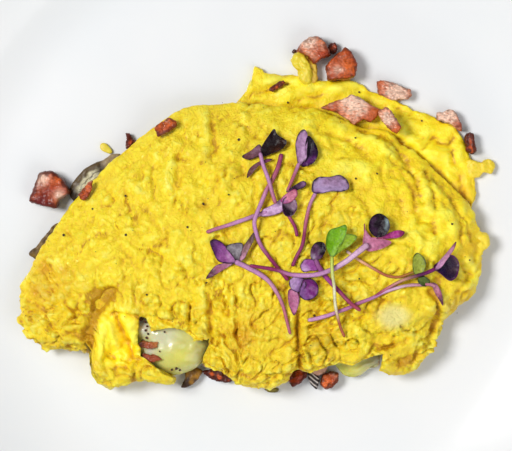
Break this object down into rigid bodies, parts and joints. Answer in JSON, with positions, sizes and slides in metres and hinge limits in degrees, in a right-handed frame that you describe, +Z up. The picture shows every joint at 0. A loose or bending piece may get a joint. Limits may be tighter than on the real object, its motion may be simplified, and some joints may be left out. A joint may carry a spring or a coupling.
{
  "type": "folded omelette on a plate",
  "caption": "Folded egg omelette with melted cheese, diced ham and mushroom slices spilling out, topped with radish sprouts, on a white round coupe plate.",
  "frame": {"origin": "on the plate's axis, at the level of the table that the foot ring stands on", "axes": "+Z up; +X along the omelette's fold, to its blunt torn end; +Y from the fold to the open edge"},
  "size_m": [0.3, 0.3, 0.0371],
  "materials": {
    "glaze": "white gloss glaze",
    "egg": "moist cooked egg, bright yellow, matte with small glints",
    "cheese": "smooth translucent melted cheese, pale yellow",
    "ham": "pink cooked ham, moist",
    "ham_seared": "browned red ham, glossy",
    "mushroom": "cooked brown mushroom, moist",
    "sprout": "lilac and purple radish sprout",
    "sprout_green": "green radish sprout"
  },
  "bodies": {
    "root": {"egg_curd": "egg", "ham_chip_on_top": "ham", "ham_chunk_far_right": "ham_seared", "ham_chunk_on_leaf": "ham", "ham_chunk_right": "ham", "ham_crumb_back": "ham_seared", "ham_cube_back_left": "ham", "ham_cube_back_right": "ham", "ham_cube_front": "ham_seared", "ham_cube_front_right": "ham", "ham_cube_left": "ham_seared", "ham_flake_left": "ham_seared", "ham_piece_front_left": "ham_seared", "ham_slab_on_leaf": "ham", "ham_sliver_left": "ham", "ham_sliver_on_leaf": "ham_seared", "ham_strip_back": "ham", "ham_strip_in_tear": "ham", "ham_strip_in_tear_low": "ham", "melted_cheese": "cheese", "mushroom_cap_slice": "mushroom", "mushroom_front_chip": "mushroom", "mushroom_front_gills": "mushroom", "mushroom_front_slice": "mushroom", "mushroom_stem_slice": "mushroom", "omelette": "egg", "plate": "glaze", "sprout_crossing": "sprout", "sprout_dark_bud": "sprout", "sprout_green": "sprout_green", "sprout_grey_leaf": "sprout", "sprout_left_fan": "sprout", "sprout_left_stem": "sprout", "sprout_long_curve": "sprout", "sprout_right_dark": "sprout", "sprout_right_thin_leaf": "sprout", "sprout_round_leaf": "sprout", "sprout_thin_right": "sprout_green", "sprout_top_dark": "sprout", "sprout_top_pod": "sprout"}
  },
  "joints": []
}
